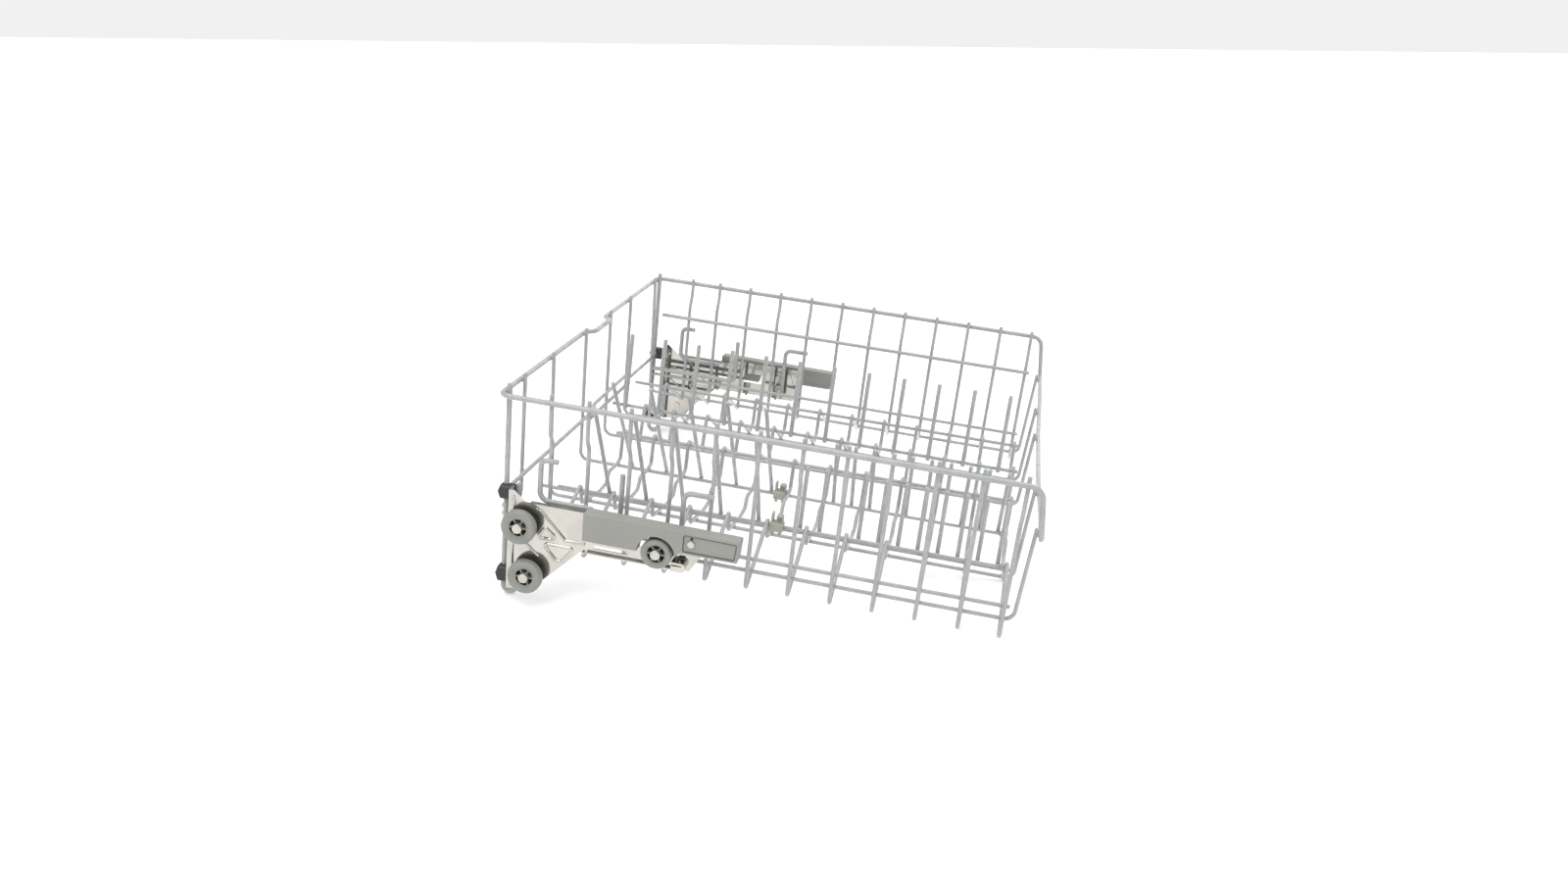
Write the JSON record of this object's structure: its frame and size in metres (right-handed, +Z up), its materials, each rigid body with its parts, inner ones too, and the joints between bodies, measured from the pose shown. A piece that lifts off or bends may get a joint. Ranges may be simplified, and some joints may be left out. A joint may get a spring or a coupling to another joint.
{
  "type": "dishwasher upper rack",
  "caption": "Coated wire upper rack of a dishwasher with ridged floor, leaning tines, folding tine rows and roller carriages with levers for changing its height.",
  "frame": {"origin": "under the middle of the part, at the height of the feet of the rear guide posts", "axes": "+X towards the lowered front of the rack, +Y across to the side with the upright far tine row, +Z up"},
  "size_m": [0.4822, 0.5308, 0.2055],
  "materials": {
    "coated_wire": "satin",
    "stainless_sheet": "polished",
    "steel_pin": "polished",
    "grey_plastic": "matte",
    "wheel_plastic": "matte",
    "dark_plastic": "matte",
    "clip_plastic": "matte"
  },
  "bodies": {
    "basket": {"cross_wire_01": "coated_wire", "cross_wire_02": "coated_wire", "cross_wire_03": "coated_wire", "cross_wire_04": "coated_wire", "cross_wire_05": "coated_wire", "cross_wire_06": "coated_wire", "cross_wire_07": "coated_wire", "cross_wire_08": "coated_wire", "cross_wire_09": "coated_wire", "cross_wire_10": "coated_wire", "cross_wire_11": "coated_wire", "cross_wire_12": "coated_wire", "long_wire_1": "coated_wire", "long_wire_2": "coated_wire", "long_wire_3": "coated_wire", "long_wire_4": "coated_wire", "long_wire_5": "coated_wire", "long_wire_6": "coated_wire", "rim": "coated_wire", "straight_wires": "coated_wire", "guide_post_near": "coated_wire", "guide_post_far": "coated_wire", "rear_rail": "coated_wire", "catch_hooks_near": "coated_wire", "catch_hooks_far": "coated_wire", "tines_far": "coated_wire", "tines_middle_fixed": "coated_wire", "tines_near_fixed": "coated_wire", "clips_middle": "clip_plastic", "clips_near": "clip_plastic"},
    "middle_fold_row": {"fold_row_middle": "coated_wire"},
    "near_fold_row": {"fold_row_near": "coated_wire"},
    "carriage_near": {"carriage_plate_near": "stainless_sheet", "carriage_sliders_near": "dark_plastic", "carriage_axles_near": "steel_pin", "catch_bracket_near": "stainless_sheet", "lever_pin_near": "steel_pin"},
    "lever_near_body": {"lever_near": "grey_plastic"},
    "wheel_rear_upper_near_body": {"wheel_rear_upper_near": "wheel_plastic"},
    "wheel_rear_lower_near_body": {"wheel_rear_lower_near": "wheel_plastic"},
    "wheel_front_near_body": {"wheel_front_near": "wheel_plastic"},
    "carriage_far": {"carriage_plate_far": "stainless_sheet", "carriage_sliders_far": "dark_plastic", "carriage_axles_far": "steel_pin", "catch_bracket_far": "stainless_sheet", "lever_pin_far": "steel_pin"},
    "lever_far_body": {"lever_far": "grey_plastic"},
    "wheel_rear_upper_far_body": {"wheel_rear_upper_far": "wheel_plastic"},
    "wheel_rear_lower_far_body": {"wheel_rear_lower_far": "wheel_plastic"},
    "wheel_front_far_body": {"wheel_front_far": "wheel_plastic"}
  },
  "joints": [
    {"name": "middle_row_fold", "type": "hinge", "parent": "basket", "child": "middle_fold_row", "pos_m": [0.10165, -0.02853, 0.05791], "axis": [1, 0, 0], "range_deg": [0, 50]},
    {"name": "near_row_fold", "type": "hinge", "parent": "basket", "child": "near_fold_row", "pos_m": [0.11165, -0.15055, 0.07791], "axis": [1, 0, 0], "range_deg": [0, 65]},
    {"name": "lift_near", "type": "slide", "parent": "basket", "child": "carriage_near", "axis": [0, 0, 1], "range_m": [0, 0.05]},
    {"name": "lever_press_near", "type": "hinge", "parent": "carriage_near", "child": "lever_near_body", "pos_m": [-0.05235, -0.258, 0.0985], "axis": [0, 1, 0], "range_deg": [0, 4], "stiffness_Nm_per_rad": 0.8},
    {"name": "spin_rear_upper_near", "type": "hinge", "parent": "carriage_near", "child": "wheel_rear_upper_near_body", "pos_m": [-0.21035, -0.2595, 0.0825], "axis": [0, 1, 0], "continuous": true},
    {"name": "spin_rear_lower_near", "type": "hinge", "parent": "carriage_near", "child": "wheel_rear_lower_near_body", "pos_m": [-0.20285, -0.2595, 0.035], "axis": [0, 1, 0], "continuous": true},
    {"name": "spin_front_near", "type": "hinge", "parent": "carriage_near", "child": "wheel_front_near_body", "pos_m": [-0.08335, -0.2595, 0.0821], "axis": [0, 1, 0], "continuous": true},
    {"name": "lift_far", "type": "slide", "parent": "basket", "child": "carriage_far", "axis": [0, 0, 1], "range_m": [0, 0.05]},
    {"name": "lever_press_far", "type": "hinge", "parent": "carriage_far", "child": "lever_far_body", "pos_m": [-0.05235, 0.258, 0.0985], "axis": [0, 1, 0], "range_deg": [0, 4], "stiffness_Nm_per_rad": 0.8},
    {"name": "spin_rear_upper_far", "type": "hinge", "parent": "carriage_far", "child": "wheel_rear_upper_far_body", "pos_m": [-0.21035, 0.2595, 0.0825], "axis": [0, 1, 0], "continuous": true},
    {"name": "spin_rear_lower_far", "type": "hinge", "parent": "carriage_far", "child": "wheel_rear_lower_far_body", "pos_m": [-0.20285, 0.2595, 0.035], "axis": [0, 1, 0], "continuous": true},
    {"name": "spin_front_far", "type": "hinge", "parent": "carriage_far", "child": "wheel_front_far_body", "pos_m": [-0.08335, 0.2595, 0.0821], "axis": [0, 1, 0], "continuous": true}
  ]
}
